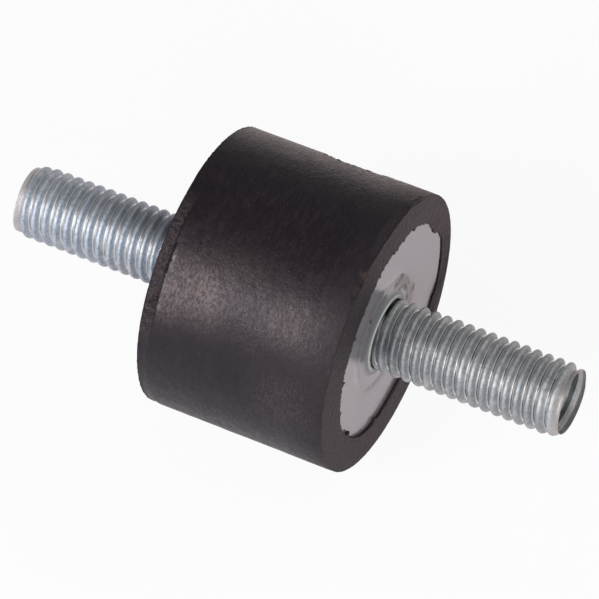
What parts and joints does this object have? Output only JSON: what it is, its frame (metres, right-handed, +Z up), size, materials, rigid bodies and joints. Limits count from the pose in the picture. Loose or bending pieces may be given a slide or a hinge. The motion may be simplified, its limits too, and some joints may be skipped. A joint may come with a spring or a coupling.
{
  "type": "bobbin vibration mount",
  "caption": "Cylindrical rubber vibration mount with a zinc-plated steel end plate bonded into each end and a coarse-threaded stud projecting from each plate along the axis.",
  "frame": {"origin": "middle of the rubber body, on the axis that both studs share", "axes": "+X along the studs towards the right end; +Z up with the mount lying on its side; the solids are round about X, so Y and Z have no preferred direction on the part itself"},
  "size_m": [0.062, 0.03, 0.03],
  "materials": {
    "rubber": "moulded black rubber, satin, with scuffs and a matt ring at each end",
    "plate_steel": "bright zinc plating, satin",
    "stud_steel": "bright zinc plating over rolled threads, bluish"
  },
  "bodies": {
    "root": {"rubber_body": "rubber", "right_plate": "plate_steel", "left_plate": "plate_steel", "right_stud": "stud_steel", "left_stud": "stud_steel"}
  },
  "joints": []
}
